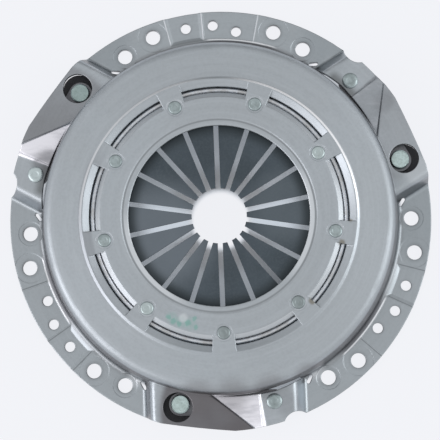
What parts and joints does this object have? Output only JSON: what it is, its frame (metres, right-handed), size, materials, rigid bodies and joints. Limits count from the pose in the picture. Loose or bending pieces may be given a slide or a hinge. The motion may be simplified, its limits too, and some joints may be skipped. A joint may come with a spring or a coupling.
{
  "type": "clutch pressure plate",
  "caption": "Push type clutch cover with a fingered diaphragm spring, strap-driven pressure ring and drilled bolting flange.",
  "frame": {"origin": "centre of the cover's bolting face, which rests on the flywheel", "axes": "+Z along the axis of rotation, away from the flywheel towards the gearbox; +Y through the middle of one flange segment"},
  "size_m": [0.2886, 0.2885, 0.0371],
  "materials": {
    "cover_steel": "satin pressed steel",
    "spring_steel": "dark blue grey shot peened",
    "plated_rivet": "pale zinc",
    "ring_iron": "cast with a turned face",
    "strap_steel": "rolled spring steel",
    "wire_steel": "bright drawn wire"
  },
  "bodies": {
    "cover_assembly": {"cover": "cover_steel", "diaphragm_spring": "spring_steel", "upper_fulcrum_ring": "wire_steel", "lower_fulcrum_ring": "wire_steel", "fulcrum_rivets": "plated_rivet", "cover_strap_rivets": "plated_rivet", "strap_1_leaf_1": "strap_steel", "strap_1_leaf_2": "strap_steel", "strap_1_leaf_3": "strap_steel", "strap_2_leaf_1": "strap_steel", "strap_2_leaf_2": "strap_steel", "strap_2_leaf_3": "strap_steel", "strap_3_leaf_1": "strap_steel", "strap_3_leaf_2": "strap_steel", "strap_3_leaf_3": "strap_steel", "strap_washer_1": "strap_steel", "strap_washer_2": "strap_steel", "strap_washer_3": "strap_steel"},
    "pressure_ring": {"pressure_plate": "ring_iron", "plate_strap_rivets": "plated_rivet"}
  },
  "joints": [
    {"name": "plate_lift", "type": "slide", "parent": "cover_assembly", "child": "pressure_ring", "axis": [0, 0, 1], "range_m": [0, 0.0054], "stiffness_N_per_m": 2000, "springref_m": -0.002, "deforming": ["diaphragm_spring", "strap_1_leaf_1", "strap_1_leaf_2", "strap_1_leaf_3", "strap_2_leaf_1", "strap_2_leaf_2", "strap_2_leaf_3", "strap_3_leaf_1", "strap_3_leaf_2", "strap_3_leaf_3"]}
  ]
}
